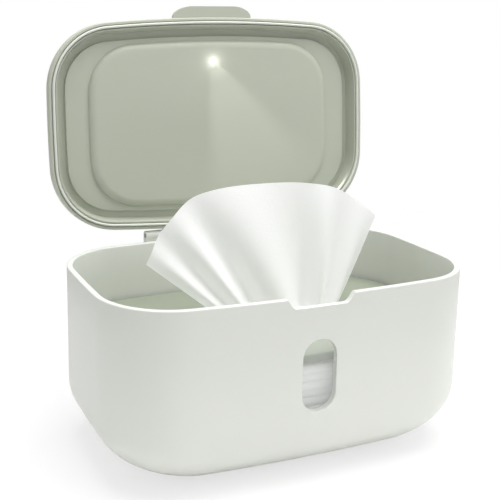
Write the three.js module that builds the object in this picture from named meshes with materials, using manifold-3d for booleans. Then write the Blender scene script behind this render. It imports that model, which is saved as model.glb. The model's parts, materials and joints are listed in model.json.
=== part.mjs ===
// A table-top dispenser for wet wipes, in millimetres. X runs along the box, Y to the hinge at the back,
// Z up. The origin is the middle of the face the box stands on. The lid stands open on its stop.
import * as THREE from "three";
import { mergeVertices } from "three/addons/utils/BufferGeometryUtils.js";
import Module from "manifold-3d";

const wasm = await Module();
wasm.setup();

// Clearances
const FIT_GAP = 0.3; // between pieces that touch
const PLATE_PLAY = 1.5; // around the weight plate, so that it sinks freely
const CUT_OVER = 1; // how far a cutting tool runs past the face it cuts

// Box
const HALF_LENGTH = 95;
const HALF_DEPTH = 59.2;
const TUB_HEIGHT = 90.8;
const TUB_WALL = 3;
const END_RADIUS = 870; // bulge of the short sides, in plan
const SIDE_RADIUS = 765; // bulge of the long sides, in plan
const CORNER_RADIUS = 36;
const LEAST_CORNER = 8;
const CORNER_SHARE = 0.5; // how much a plan corner tightens as its outline is drawn in
const BASE_ROUND_HEIGHT = 32.5;
const BASE_ROUND_END = 53;
const BASE_ROUND_SIDE = 34.5;
const BASE_ROUND_POWER = 2.15;
const RIM_ROUND = 0.7;

// Thumb notch in the front rim
const NOTCH_TOP_WIDTH = 34.5;
const NOTCH_FLOOR_WIDTH = 28;
const NOTCH_DEPTH = 4.8;
const NOTCH_ROUND = 1.5;

// Window in the front wall
const WINDOW_WIDTH = 17.5;
const WINDOW_HEIGHT = 34.8;
const WINDOW_CENTRE = 53.3;
const PANE_SET_BACK = 0.5;
const PANE_FLANGE = 2.5; // how far the flange reaches past the hole
const PANE_FLANGE_THICKNESS = 1.2;

// Non-slip pad
const PAD_HALF_LENGTH = 32;
const PAD_HALF_DEPTH = 22;
const PAD_CORNER = 14;
const PAD_THICKNESS = 2;
const PAD_PROUD = 0.8;

// Hinge
const BARREL_RADIUS = 2.6;
const BARREL_HALF_LENGTH = 42;
const KNUCKLE_LENGTH = 10;
const PIN_RADIUS = 1.2;
const PIN_SHORT = 0.8; // how far each pin end sits inside its knuckle
const HINGE_SETBACK = 0.5; // axis behind the back of the box
const POST_HEIGHT = 10.4; // how far each knuckle's post runs down the wall
const POST_IN_WALL = 0.5;
const LID_OPEN_ANGLE = 94.7;

// Lid
const LID_INSET = 2.2; // the lid's edge lies this far inside the box's edge
const LID_CORNER_RADIUS = 35;
const SKIRT_HEIGHT = 4.5;
const SKIRT_WALL = 1.7;
const LID_HEIGHT = 15;
const LID_WALL = 2.2;
const DOME_ROUND_END = 46;
const DOME_ROUND_SIDE = 30;
const DOME_POWER = 2;
const TAB_WIDTH = 45.5;
const TAB_REACH = 6;
const TAB_THICKNESS = 3;
const TAB_LIFT = 0.9;
const TAB_SHOULDER = 11; // the tab's corners are quarter ellipses this wide and as deep as its reach

// Sealing bead and stepped inner panel; heights are counted from the lid's edge up into the dome
const GASKET_WIDTH = 1.3;
const GASKET_PROUD = 1;
const GASKET_HEIGHT = 3.2;
const LINER_WALL = 1.5;
const LEDGE_DEPTH = 4.4;
const SLOPE_RUN = 2.6;
const LEDGE_RUN_END = 16;
const LEDGE_RUN_SIDE = 6.2;
const PANEL_RISE = 3;
const PANEL_EDGE = 4.4;
const PANEL_EDGE_STEPS = 3;
const PANEL_CORNER_RADIUS = 26;
const LIP_WIDTH = 0.8;
const GROOVE_WIDTH = 2.4; // channel around the ledge, at the foot of the slope
const GROOVE_DEPTH = 1.6;

// Lamp
const LAMP_FROM_EDGE = 23.5; // from the lid's front edge
const LENS_RADIUS = 1.7;
const LENS_FLANGE_RADIUS = 3.2;
const LENS_FLANGE_THICKNESS = 0.9;
const LENS_PROUD = 0.5;
const LED_SIZE = 3;
const LED_HEIGHT = 1.1;
const BOARD_WIDTH = 24;
const BOARD_LENGTH = 60;
const BOARD_THICKNESS = 1;
const BOSS_RADIUS = 2.4;
const SCREW_RADIUS = 0.8;
const SCREW_HEAD_RADIUS = 1.6;
const SCREW_HEAD_HEIGHT = 1;
const SCREW_FROM_BOARD_END = 10;
const SCREW_FROM_MIDDLE = 8;
const SWITCH_WIDTH = 5;
const SWITCH_LENGTH = 6;
const SWITCH_HEIGHT = 2.4;

// Battery
const CELL_RADIUS = 10;
const CELL_THICKNESS = 3.2;
const CELL_EDGE = 0.4;
const HOLDER_WALL = 1.4;
const HOLDER_FLOOR = 0.8;
const CONTACT_RADIUS = 3.5;
const DOOR_RADIUS = 13;
const DOOR_FACE_THICKNESS = 1.1;
const DOOR_PLUG_RADIUS = 11;
const DOOR_PLUG_HEIGHT = 1.4;
const COIN_SLOT_LENGTH = 13;
const COIN_SLOT_WIDTH = 1.8;
const COIN_SLOT_DEPTH = 0.6;

// Wipes and plate
const STACK_END_SPACE = 11; // between the stack and the box's short sides
const STACK_SIDE_SPACE = 4.2; // and its long sides
const STACK_CORNER = 8;
const STACK_BULGE_RADIUS = 9000; // the block's sides are all but straight
const STACK_PLAY = 0.6; // from the rounded bottom of the box
const FOLD_COUNT = 13;
const FOLD_ROUND = 0.8;
const PLATE_BOTTOM = 58;
const PLATE_THICKNESS = 4;
const PLATE_ROUND = 1.2;
const SLOT_LENGTH = 94;
const SLOT_WIDTH = 16;
const WEIGHT_LENGTH = 22;
const WEIGHT_DEPTH = 62;
const WEIGHT_THICKNESS = 2.2;
const WEIGHT_CORNER = 4;

// Pulled wipe: a pleated fan that stands in the plate's slot; its corners hang lower than its middle
const WIPE_THICKNESS = 1.2;
const WIPE_FOOT_LEFT = -16;
const WIPE_FOOT_RIGHT = 43;
// Corners and the points between them of the upper edge, in X and Z
const WIPE_EDGE = [
  [-60.5, 94],
  [-53, 109.5],
  [-40, 123],
  [-26, 128.5],
  [-5, 130],
  [25, 128.5],
  [46, 123.5],
  [68.5, 108],
];
const WIPE_EDGE_DEPTH = 2;
const WIPE_PLEATS = 5;
const WIPE_MIDDLE_WIDENING = 0.1; // the middle pleat is broader than the outer ones
const WIPE_PLEAT_DEPTH = 3;
const WIPE_FOOT_DEPTH = 9;
const WIPE_SIDE_CALM = 0.55; // how much shallower the pleats are at the wipe's sides
const WIPE_LEAN = 5; // how far the top stands back from the foot
const WIPE_COLUMNS = 40;
const WIPE_ROWS = 9;

// Derived places
const HINGE_Y = HALF_DEPTH + HINGE_SETBACK;
const HINGE_Z = TUB_HEIGHT + FIT_GAP + BARREL_RADIUS;
const LID_EDGE = TUB_HEIGHT + FIT_GAP;
const FLOOR_TOP = PAD_PROUD + TUB_WALL;
const FLANGE_START = SKIRT_WALL + FIT_GAP; // liner and bead start here, counted in from the lid's edge
const SLOPE_START = FLANGE_START + GASKET_WIDTH + FIT_GAP;
const GASKET_TOP = GASKET_HEIGHT - GASKET_PROUD;
const PANEL_FACE = LEDGE_DEPTH - PANEL_RISE; // height of the panel's face above the lid's edge
const PANEL_BACK = LID_EDGE + PANEL_FACE + LINER_WALL;
const LENS_Y = LID_INSET + LAMP_FROM_EDGE - HALF_DEPTH;
const BOARD_BOTTOM = PANEL_BACK + LENS_FLANGE_THICKNESS + LED_HEIGHT + 3 * FIT_GAP;
const BOARD_TOP = BOARD_BOTTOM + BOARD_THICKNESS;
const BOARD_FRONT = LENS_Y - LED_SIZE;
const BATTERY_Y = BOARD_FRONT + BOARD_LENGTH - CELL_RADIUS - HOLDER_WALL;
const HOLDER_BOTTOM = BOARD_TOP + FIT_GAP;
const CELL_BOTTOM = HOLDER_BOTTOM + HOLDER_FLOOR + FIT_GAP;
const LID_TOP = LID_EDGE + LID_HEIGHT;
const PLATE_TOP = PLATE_BOTTOM + PLATE_THICKNESS;
const STACK_HALF_LENGTH = HALF_LENGTH - TUB_WALL - STACK_END_SPACE;
const STACK_HALF_DEPTH = HALF_DEPTH - TUB_WALL - STACK_SIDE_SPACE;
// Each weight lies halfway between the slot's end and the plate's end.
const WEIGHT_FROM_MIDDLE = (SLOT_LENGTH / 2 + HALF_LENGTH - TUB_WALL - PLATE_PLAY) / 2;

// Smoothness
const BODY_STEPS = { end: 3, corner: 8, side: 5 };
const STACK_STEPS = { end: 1, corner: 4, side: 1 };
const ROUND_STEPS = 7;
const CORNER_SEGMENTS = 6;
const CIRCLE_STEPS = 24;
const SMALL_CIRCLE_STEPS = 12;
const SMALL_RADIUS = 5; // turned pieces up to this radius use the small count

const MATERIALS = {
  shell: { color: 0xdcdfd8, roughness: 0.42, metalness: 0 },
  lid: { color: 0xb9beae, roughness: 0.42, metalness: 0 },
  plate: { color: 0x98a08f, roughness: 0.5, metalness: 0 },
  pane: { color: 0xf2f5f1, roughness: 0.1, metalness: 0, transparent: true, opacity: 0.35 },
  rubber: { color: 0xc9cdc2, roughness: 0.7, metalness: 0 },
  steel: { color: 0xb8bcc0, roughness: 0.3, metalness: 1 },
  wipe: { color: 0xf4f4f3, roughness: 0.95, metalness: 0 },
  lens: { color: 0xffffff, roughness: 0.15, metalness: 0 },
  led: { color: 0xf6efc8, roughness: 0.4, metalness: 0 },
  board: { color: 0x2f6b45, roughness: 0.5, metalness: 0 },
  black: { color: 0x26282a, roughness: 0.5, metalness: 0 },
};

// Mesh and boolean helpers

function named(name, geometry, look) {
  geometry.computeVertexNormals();
  const mesh = new THREE.Mesh(geometry, new THREE.MeshStandardMaterial(MATERIALS[look]));
  mesh.name = name;
  return mesh;
}

function toSolid(geometry) {
  const bare = geometry.clone();
  bare.deleteAttribute("normal");
  bare.deleteAttribute("uv");
  const merged = mergeVertices(bare, 1e-4);
  return new wasm.Manifold(
    new wasm.Mesh({
      numProp: 3,
      vertProperties: merged.attributes.position.array,
      triVerts: new Uint32Array(merged.index.array),
    }),
  );
}

function toGeometry(solid) {
  const mesh = solid.getMesh();
  return new THREE.BufferGeometry()
    .setAttribute("position", new THREE.BufferAttribute(mesh.vertProperties, 3))
    .setIndex(new THREE.BufferAttribute(mesh.triVerts, 1));
}

function join(first, ...others) {
  return toGeometry(others.reduce((sum, g) => sum.add(toSolid(g)), toSolid(first)));
}

function cut(first, ...tools) {
  return toGeometry(tools.reduce((rest, g) => rest.subtract(toSolid(g)), toSolid(first)));
}

// Plan outline: two short and two long sides, each an arc, joined by corner arcs. Points run
// anticlockwise from the middle of the right side.
function planOutline(halfX, halfY, endRadius, sideRadius, cornerRadius, steps) {
  const endCentre = halfX - endRadius;
  const sideCentre = halfY - sideRadius;
  const toSide = sideRadius - cornerRadius;
  const toEnd = endRadius - cornerRadius;
  const span = Math.hypot(endCentre, sideCentre);
  const along = (toSide ** 2 - toEnd ** 2 + span ** 2) / (2 * span);
  const off = Math.sqrt(Math.max(toSide ** 2 - along ** 2, 0));
  // The corner arc's centre lies toSide from (0, sideCentre) and toEnd from (endCentre, 0).
  const ux = endCentre / span;
  const uy = -sideCentre / span;
  const cornerX = along * ux + off * uy;
  const cornerY = sideCentre + along * uy - off * ux;
  const endAngle = Math.atan2(cornerY, cornerX - endCentre);
  const sideAngle = Math.atan2(cornerY - sideCentre, cornerX);
  const quarter = [];
  for (let i = 0; i < steps.end; i++) {
    const t = (endAngle * i) / steps.end;
    quarter.push([endCentre + endRadius * Math.cos(t), endRadius * Math.sin(t)]);
  }
  for (let i = 0; i < steps.corner; i++) {
    const t = endAngle + ((sideAngle - endAngle) * i) / steps.corner;
    quarter.push([cornerX + cornerRadius * Math.cos(t), cornerY + cornerRadius * Math.sin(t)]);
  }
  for (let i = 0; i <= steps.side; i++) {
    const t = sideAngle + ((Math.PI / 2 - sideAngle) * i) / steps.side;
    quarter.push([sideRadius * Math.cos(t), sideCentre + sideRadius * Math.sin(t)]);
  }
  const back = quarter.slice(0, -1).reverse();
  const left = back.map(([x, y]) => [-x, y]);
  const frontLeft = quarter.slice(1).map(([x, y]) => [-x, -y]);
  const frontRight = back.slice(0, -1).map(([x, y]) => [x, -y]);
  return [...quarter, ...left, ...frontLeft, ...frontRight];
}

// The box's outline, drawn in by insetX and insetY at a rounded bottom or dome, and by a wall's offset.
function bodyRing(insetX, insetY, offset, z, cornerRadius = CORNER_RADIUS) {
  const corner = cornerRadius - CORNER_SHARE * Math.max(insetX, insetY) - offset;
  return planOutline(
    HALF_LENGTH - insetX - offset,
    HALF_DEPTH - insetY - offset,
    END_RADIUS - offset,
    SIDE_RADIUS - offset,
    Math.max(corner, LEAST_CORNER),
    BODY_STEPS,
  ).map(([x, y]) => [x, y, z]);
}

function lidRing(insetX, insetY, offset, height) {
  return bodyRing(insetX, insetY, LID_INSET + offset, LID_EDGE + height, LID_CORNER_RADIUS + LID_INSET);
}

// A closed skin through rings of equal length, with a fan over the first and the last ring.
function loft(rings) {
  const count = rings[0].length;
  const centre = (ring) => [0, 1, 2].map((k) => ring.reduce((s, p) => s + p[k], 0) / count);
  const points = [...rings.flat(), centre(rings[0]), centre(rings[rings.length - 1])];
  const faces = [];
  for (let i = 0; i + 1 < rings.length; i++) addBand(faces, i * count, (i + 1) * count, count);
  const first = points.length - 2;
  const lastStart = (rings.length - 1) * count;
  for (let j = 0; j < count; j++) {
    const next = (j + 1) % count;
    faces.push(first, next, j, first + 1, lastStart + j, lastStart + next);
  }
  return skin(points, faces);
}

// A closed loop of rings, for a frame-shaped piece.
function loftLoop(rings) {
  const count = rings[0].length;
  const faces = [];
  rings.forEach((_, i) => addBand(faces, i * count, ((i + 1) % rings.length) * count, count));
  return skin(rings.flat(), faces);
}

function addBand(faces, from, to, count) {
  for (let j = 0; j < count; j++) {
    const next = (j + 1) % count;
    faces.push(from + j, from + next, to + next, from + j, to + next, to + j);
  }
}

function skin(points, faces) {
  return new THREE.BufferGeometry()
    .setAttribute("position", new THREE.Float32BufferAttribute(points.flat(), 3))
    .setIndex(faces);
}

function box(width, depth, height, x, y, z) {
  return new THREE.BoxGeometry(width, depth, height).translate(x, y, z + height / 2);
}

// A cylinder along X about the hinge axis.
function barrel(radius, fromX, toX) {
  return new THREE.CylinderGeometry(radius, radius, toX - fromX, CIRCLE_STEPS)
    .rotateZ(Math.PI / 2)
    .translate((fromX + toX) / 2, HINGE_Y, HINGE_Z);
}

// A turned piece about a vertical axis; the profile is [radius, height] from the bottom up.
function turned(profile, x, y, z) {
  const points = profile.map(([r, h]) => new THREE.Vector2(r, h));
  const widest = Math.max(...profile.map(([r]) => r));
  const steps = widest > SMALL_RADIUS ? CIRCLE_STEPS : SMALL_CIRCLE_STEPS;
  return new THREE.LatheGeometry(points, steps).rotateX(Math.PI / 2).translate(x, y, z);
}

function disc(radius, height, x, y, z) {
  return turned([[0, 0], [radius, 0], [radius, height], [0, height]], x, y, z);
}

// A shape drawn in X and Z, extruded along Y from yFrom to yTo.
function acrossY(shape, yFrom, yTo) {
  return new THREE.ExtrudeGeometry(shape, {
    depth: yTo - yFrom,
    bevelEnabled: false,
    curveSegments: CORNER_SEGMENTS,
  })
    .rotateX(Math.PI / 2)
    .translate(0, yTo, 0);
}

function upright(shape, height, z) {
  return new THREE.ExtrudeGeometry(shape, {
    depth: height,
    bevelEnabled: false,
    curveSegments: CORNER_SEGMENTS,
  }).translate(0, 0, z);
}

function roundedRectangle(halfX, halfY, radius, x = 0, y = 0) {
  const r = Math.min(radius, halfX - 1e-3, halfY - 1e-3);
  const shape = new THREE.Shape();
  shape.absarc(x + halfX - r, y + halfY - r, r, 0, Math.PI / 2);
  shape.absarc(x - halfX + r, y + halfY - r, r, Math.PI / 2, Math.PI);
  shape.absarc(x - halfX + r, y - halfY + r, r, Math.PI, 1.5 * Math.PI);
  shape.absarc(x + halfX - r, y - halfY + r, r, 1.5 * Math.PI, 2 * Math.PI);
  shape.closePath();
  return shape;
}

// How far a rounded bottom or dome is drawn in (in) and climbs (up), from 0 at its flat to 1 at its wall.
function roundShare(step, power) {
  const angle = (Math.PI / 2) * (1 - step / ROUND_STEPS);
  return {
    drawnIn: 1 - Math.max(Math.cos(angle), 0) ** (2 / power),
    drop: Math.sin(angle) ** (2 / power),
  };
}

// Box

function tubBottomRings(offset, low, outward) {
  const rings = [];
  for (let i = 0; i <= ROUND_STEPS; i++) {
    const { drawnIn, drop } = roundShare(outward ? i : ROUND_STEPS - i, BASE_ROUND_POWER);
    const z = BASE_ROUND_HEIGHT - (BASE_ROUND_HEIGHT - low) * drop;
    rings.push(bodyRing(BASE_ROUND_END * drawnIn, BASE_ROUND_SIDE * drawnIn, offset, z));
  }
  return rings;
}

function rimRings(wall) {
  const rings = [];
  const quarter = Math.PI / 4;
  for (let i = 0; i <= 2; i++) {
    const a = i * quarter;
    const z = TUB_HEIGHT - RIM_ROUND * (1 - Math.sin(a));
    rings.push(bodyRing(0, 0, RIM_ROUND * (1 - Math.cos(a)), z));
  }
  for (let i = 2; i >= 0; i--) {
    const a = i * quarter;
    const z = TUB_HEIGHT - RIM_ROUND * (1 - Math.sin(a));
    rings.push(bodyRing(0, 0, wall - RIM_ROUND * (1 - Math.cos(a)), z));
  }
  return rings;
}

function notchShape() {
  const top = TUB_HEIGHT + CUT_OVER;
  const floor = TUB_HEIGHT - NOTCH_DEPTH;
  const flare = (NOTCH_TOP_WIDTH - NOTCH_FLOOR_WIDTH) / 2;
  const slope = flare / NOTCH_DEPTH;
  const halfFloor = NOTCH_FLOOR_WIDTH / 2;
  const halfTop = NOTCH_TOP_WIDTH / 2 + slope * CUT_OVER;
  const shape = new THREE.Shape();
  shape.moveTo(halfTop, top);
  shape.lineTo(-halfTop, top);
  shape.lineTo(-halfFloor - slope * NOTCH_ROUND, floor + NOTCH_ROUND);
  shape.quadraticCurveTo(-halfFloor, floor, -halfFloor + NOTCH_ROUND, floor);
  shape.lineTo(halfFloor - NOTCH_ROUND, floor);
  shape.quadraticCurveTo(halfFloor, floor, halfFloor + slope * NOTCH_ROUND, floor + NOTCH_ROUND);
  shape.closePath();
  return shape;
}

function pill(width, height) {
  return roundedRectangle(width / 2, height / 2, width / 2, 0, WINDOW_CENTRE);
}

function hingePost(fromX, toX) {
  const profile = new THREE.Shape();
  const inner = HALF_DEPTH - TUB_WALL + POST_IN_WALL;
  profile.moveTo(inner, TUB_HEIGHT - BARREL_RADIUS);
  profile.lineTo(inner, TUB_HEIGHT - POST_HEIGHT);
  profile.lineTo(HALF_DEPTH - TUB_WALL / 2, TUB_HEIGHT - POST_HEIGHT);
  profile.lineTo(HINGE_Y + BARREL_RADIUS, TUB_HEIGHT - BARREL_RADIUS / 2);
  profile.lineTo(HINGE_Y + BARREL_RADIUS, HINGE_Z);
  profile.lineTo(HINGE_Y - BARREL_RADIUS + FIT_GAP, HINGE_Z);
  profile.lineTo(HINGE_Y - BARREL_RADIUS + FIT_GAP, TUB_HEIGHT - BARREL_RADIUS);
  profile.closePath();
  const post = new THREE.ExtrudeGeometry(profile, { depth: toX - fromX, bevelEnabled: false });
  // The profile's own X and Y become Y and Z, and it is extruded along X.
  post.applyMatrix4(new THREE.Matrix4().makeBasis(
    new THREE.Vector3(0, 1, 0),
    new THREE.Vector3(0, 0, 1),
    new THREE.Vector3(1, 0, 0),
  ));
  return post.translate(fromX, 0, 0);
}

function tubShell() {
  const shell = loft([
    ...tubBottomRings(0, PAD_PROUD, true),
    ...rimRings(TUB_WALL),
    ...tubBottomRings(TUB_WALL, FLOOR_TOP, false),
  ]);
  const knuckleStart = BARREL_HALF_LENGTH - KNUCKLE_LENGTH;
  const knuckles = [-1, 1].flatMap((side) => {
    const [from, to] = [side * knuckleStart, side * BARREL_HALF_LENGTH].sort((a, b) => a - b);
    return [barrel(BARREL_RADIUS, from, to), hingePost(from, to)];
  });
  const padPocket = roundedRectangle(
    PAD_HALF_LENGTH + FIT_GAP,
    PAD_HALF_DEPTH + FIT_GAP,
    PAD_CORNER + FIT_GAP,
  );
  return cut(
    join(shell, ...knuckles),
    acrossY(notchShape(), -HALF_DEPTH - CUT_OVER, -HALF_DEPTH + TUB_WALL + CUT_OVER),
    acrossY(pill(WINDOW_WIDTH, WINDOW_HEIGHT), -HALF_DEPTH - CUT_OVER, -HALF_DEPTH + TUB_WALL + CUT_OVER),
    upright(padPocket, PAD_THICKNESS + FIT_GAP, 0),
    barrel(PIN_RADIUS + FIT_GAP, -BARREL_HALF_LENGTH - CUT_OVER, BARREL_HALF_LENGTH + CUT_OVER),
  );
}

function windowPane() {
  const front = -HALF_DEPTH + PANE_SET_BACK;
  const wallInside = -HALF_DEPTH + TUB_WALL + FIT_GAP;
  const light = pill(WINDOW_WIDTH - 2 * FIT_GAP, WINDOW_HEIGHT - 2 * FIT_GAP);
  const flange = pill(WINDOW_WIDTH + 2 * PANE_FLANGE, WINDOW_HEIGHT + 2 * PANE_FLANGE);
  return join(
    acrossY(light, front, wallInside + PANE_FLANGE_THICKNESS / 2),
    acrossY(flange, wallInside, wallInside + PANE_FLANGE_THICKNESS),
  );
}

function basePad() {
  return upright(roundedRectangle(PAD_HALF_LENGTH, PAD_HALF_DEPTH, PAD_CORNER), PAD_THICKNESS, 0);
}

function hingePin() {
  const half = BARREL_HALF_LENGTH - PIN_SHORT;
  return barrel(PIN_RADIUS, -half, half);
}

// Wipes and plate

// The folded block, its lower edges sagged into the rounded bottom of the box.
function wipesStack() {
  const fold = (PLATE_BOTTOM - FIT_GAP - FLOOR_TOP - STACK_PLAY) / FOLD_COUNT;
  const ring = (draw, level) =>
    planOutline(
      STACK_HALF_LENGTH - draw,
      STACK_HALF_DEPTH - draw,
      STACK_BULGE_RADIUS,
      STACK_BULGE_RADIUS,
      STACK_CORNER - draw,
      STACK_STEPS,
    ).map(([x, y]) => [x, y, FLOOR_TOP + STACK_PLAY + level * fold]);
  const rings = [];
  for (let i = 0; i < FOLD_COUNT; i++) rings.push(ring(FOLD_ROUND, i), ring(0, i + 0.5));
  rings.push(ring(FOLD_ROUND, FOLD_COUNT));
  const room = loft([
    ...tubBottomRings(TUB_WALL + STACK_PLAY, FLOOR_TOP + STACK_PLAY, true),
    bodyRing(0, 0, TUB_WALL + STACK_PLAY, TUB_HEIGHT),
  ]);
  return toGeometry(toSolid(loft(rings)).intersect(toSolid(room)));
}

function weightPocket(side, grow) {
  const half = WEIGHT_LENGTH / 2 + grow;
  return roundedRectangle(half, WEIGHT_DEPTH / 2 + grow, WEIGHT_CORNER + grow, side * WEIGHT_FROM_MIDDLE);
}

function weightPlate() {
  const edge = TUB_WALL + PLATE_PLAY;
  const plate = loft([
    bodyRing(0, 0, edge, PLATE_BOTTOM),
    bodyRing(0, 0, edge, PLATE_TOP - PLATE_ROUND),
    bodyRing(0, 0, edge + PLATE_ROUND * (1 - Math.SQRT1_2), PLATE_TOP - PLATE_ROUND * (1 - Math.SQRT1_2)),
    bodyRing(0, 0, edge + PLATE_ROUND, PLATE_TOP),
  ]);
  const slot = roundedRectangle(SLOT_LENGTH / 2, SLOT_WIDTH / 2, SLOT_WIDTH / 2);
  const pockets = [-1, 1].map((side) =>
    upright(weightPocket(side, FIT_GAP), WEIGHT_THICKNESS + 2 * FIT_GAP, PLATE_BOTTOM - FIT_GAP),
  );
  return cut(plate, upright(slot, PLATE_THICKNESS + 2 * CUT_OVER, PLATE_BOTTOM - CUT_OVER), ...pockets);
}

function plateWeight(side) {
  return upright(weightPocket(side, 0), WEIGHT_THICKNESS, PLATE_BOTTOM);
}

const WIPE_UPPER_EDGE = new THREE.SplineCurve(WIPE_EDGE.map(([x, z]) => new THREE.Vector2(x, z)));

// A point of the wipe's middle surface: u runs along the foot, v from the foot to the upper edge.
function wipePoint(u, v) {
  const footX = WIPE_FOOT_LEFT + (WIPE_FOOT_RIGHT - WIPE_FOOT_LEFT) * u;
  const footZ = PLATE_BOTTOM + FIT_GAP;
  const edge = WIPE_UPPER_EDGE.getPoint(u);
  const phase = u + WIPE_MIDDLE_WIDENING * Math.sin(2 * Math.PI * u);
  const calm = 1 - WIPE_SIDE_CALM * Math.cos(Math.PI * u) ** 2;
  const low = WIPE_FOOT_DEPTH * (1 - v);
  const middle = WIPE_PLEAT_DEPTH * Math.sin(Math.PI * v);
  const depth = calm * (low + middle + WIPE_EDGE_DEPTH * v);
  return [
    footX + (edge.x - footX) * v,
    WIPE_LEAN * v * v + (depth / 2) * Math.cos(2 * Math.PI * WIPE_PLEATS * phase),
    footZ + (edge.y - footZ) * v,
  ];
}

function pulledWipe() {
  const rings = [];
  for (let row = 0; row <= WIPE_ROWS; row++) {
    const ring = [];
    for (const face of [-1, 1]) {
      for (let i = 0; i <= WIPE_COLUMNS; i++) {
        const column = face < 0 ? i : WIPE_COLUMNS - i;
        const [x, y, z] = wipePoint(column / WIPE_COLUMNS, row / WIPE_ROWS);
        ring.push([x, y + (face * WIPE_THICKNESS) / 2, z]);
      }
    }
    rings.push(ring);
  }
  return stripCapped(rings);
}

// Like loft, for long thin rings: each end is closed by a strip between the ring's two halves.
function stripCapped(rings) {
  const count = rings[0].length;
  const faces = [];
  for (let i = 0; i + 1 < rings.length; i++) addBand(faces, i * count, (i + 1) * count, count);
  const last = (rings.length - 1) * count;
  for (let j = 0; j + 1 < count / 2; j++) {
    const across = count - 1 - j;
    faces.push(j, across, j + 1, j + 1, across, across - 1);
    faces.push(last + j, last + j + 1, last + across, last + j + 1, last + across - 1, last + across);
  }
  return skin(rings.flat(), faces);
}

// Lid

function lidShell() {
  const rings = [];
  const roof = LID_HEIGHT - LID_WALL;
  for (let i = 0; i <= ROUND_STEPS; i++) {
    const { drawnIn, drop } = roundShare(i, DOME_POWER);
    const height = SKIRT_HEIGHT + (roof - SKIRT_HEIGHT) * drop;
    rings.push(lidRing(DOME_ROUND_END * drawnIn, DOME_ROUND_SIDE * drawnIn, SKIRT_WALL, height));
  }
  rings.push(lidRing(0, 0, SKIRT_WALL, 0));
  rings.push(lidRing(0, 0, RIM_ROUND, 0));
  rings.push(lidRing(0, 0, RIM_ROUND * (1 - Math.SQRT1_2), RIM_ROUND * (1 - Math.SQRT1_2)));
  rings.push(lidRing(0, 0, 0, RIM_ROUND));
  for (let i = ROUND_STEPS; i >= 0; i--) {
    const { drawnIn, drop } = roundShare(i, DOME_POWER);
    const height = SKIRT_HEIGHT + (LID_HEIGHT - SKIRT_HEIGHT) * drop;
    rings.push(lidRing(DOME_ROUND_END * drawnIn, DOME_ROUND_SIDE * drawnIn, 0, height));
  }
  const knuckleHalf = BARREL_HALF_LENGTH - KNUCKLE_LENGTH - FIT_GAP;
  const webDepth = HINGE_Y - (HALF_DEPTH - LID_INSET - SKIRT_WALL);
  const web = box(2 * knuckleHalf, webDepth, BARREL_RADIUS, 0, HINGE_Y - webDepth / 2, LID_EDGE + RIM_ROUND);
  return cut(
    join(loft(rings), lidTab(), barrel(BARREL_RADIUS, -knuckleHalf, knuckleHalf), web),
    barrel(PIN_RADIUS + FIT_GAP, -knuckleHalf - CUT_OVER, knuckleHalf + CUT_OVER),
    disc(DOOR_PLUG_RADIUS + FIT_GAP, LID_HEIGHT, 0, BATTERY_Y, LID_TOP - LID_WALL - CUT_OVER),
    disc(DOOR_RADIUS + FIT_GAP, LID_HEIGHT, 0, BATTERY_Y, LID_TOP - DOOR_FACE_THICKNESS - FIT_GAP),
  );
}

function lidTab() {
  const front = LID_INSET - HALF_DEPTH;
  const root = front + SKIRT_WALL / 2;
  const reach = front - TAB_REACH;
  const half = TAB_WIDTH / 2;
  const flat = half - TAB_SHOULDER;
  const shape = new THREE.Shape();
  shape.moveTo(-half, root);
  shape.lineTo(half, root);
  shape.lineTo(half, front);
  shape.absellipse(flat, front, TAB_SHOULDER, TAB_REACH, 0, -Math.PI / 2, true);
  shape.lineTo(-flat, reach);
  shape.absellipse(-flat, front, TAB_SHOULDER, TAB_REACH, -Math.PI / 2, -Math.PI, true);
  shape.closePath();
  return upright(shape, TAB_THICKNESS, LID_EDGE + TAB_LIFT);
}

// run counts in from the lid's edge.
function linerRing(run, height) {
  return lidRing(0, 0, run, height);
}

// The raised panel's outline past the ledge, drawn in by run.
function panelRing(run, height) {
  const inner = LID_INSET + SLOPE_START + SLOPE_RUN;
  return bodyRing(
    LEDGE_RUN_END,
    LEDGE_RUN_SIDE,
    inner + run,
    LID_EDGE + height,
    PANEL_CORNER_RADIUS + CORNER_SHARE * LEDGE_RUN_END + inner,
  );
}

// The panel's face rolls over a rounded edge down to the ledge.
function panelEdgeRings() {
  const rings = [];
  for (let i = 0; i <= PANEL_EDGE_STEPS; i++) {
    const angle = (Math.PI / 2) * (i / PANEL_EDGE_STEPS);
    const height = LEDGE_DEPTH - PANEL_RISE * Math.cos(angle);
    rings.push(panelRing(PANEL_EDGE * (1 - Math.sin(angle)), height));
  }
  return rings;
}

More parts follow.
